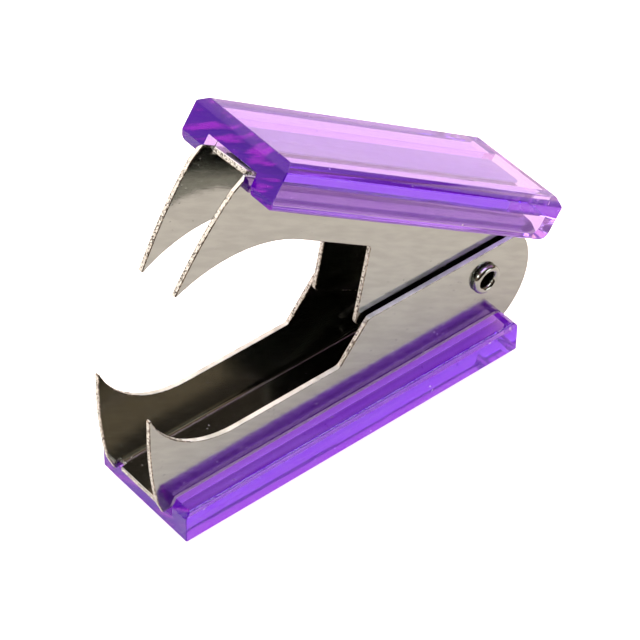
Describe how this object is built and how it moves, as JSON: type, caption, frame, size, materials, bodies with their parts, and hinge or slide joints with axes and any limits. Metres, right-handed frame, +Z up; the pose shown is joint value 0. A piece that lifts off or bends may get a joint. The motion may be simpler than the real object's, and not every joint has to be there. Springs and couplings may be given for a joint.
{
  "type": "staple remover",
  "caption": "Jaw-type staple remover: nested sheet-steel jaws with curved fangs on a hollow rivet, sprung open, each in a clear violet grip.",
  "frame": {"origin": "middle of the whole part's footprint, on the lower grip's flat outer face, with the jaws sprung open", "axes": "+Z up out of the lower grip's outer face, -Y towards the mouth, +Y towards the hinge, X along the rivet"},
  "size_m": [0.0176, 0.0666, 0.055],
  "materials": {
    "plated_steel": "bright nickel plate with a fine satin grain, raw bright cut edges",
    "violet_acrylic": "clear polished moulding",
    "adhesive": "clear set adhesive",
    "spring_wire": "drawn wire, plain"
  },
  "bodies": {
    "lower": {"lower_jaw": "plated_steel", "lower_grip": "violet_acrylic", "lower_bond": "adhesive", "pivot_rivet": "plated_steel", "return_spring": "spring_wire"},
    "upper": {"upper_jaw": "plated_steel", "upper_grip": "violet_acrylic", "upper_bond": "adhesive"}
  },
  "joints": [
    {"name": "jaw_hinge", "type": "hinge", "parent": "lower", "child": "upper", "pos_m": [0, 0.02273, 0.0142], "axis": [1, 0, 0], "range_deg": [0, 32], "stiffness_Nm_per_rad": 0.15, "springref_deg": -22.92, "deforming": ["return_spring"]}
  ]
}
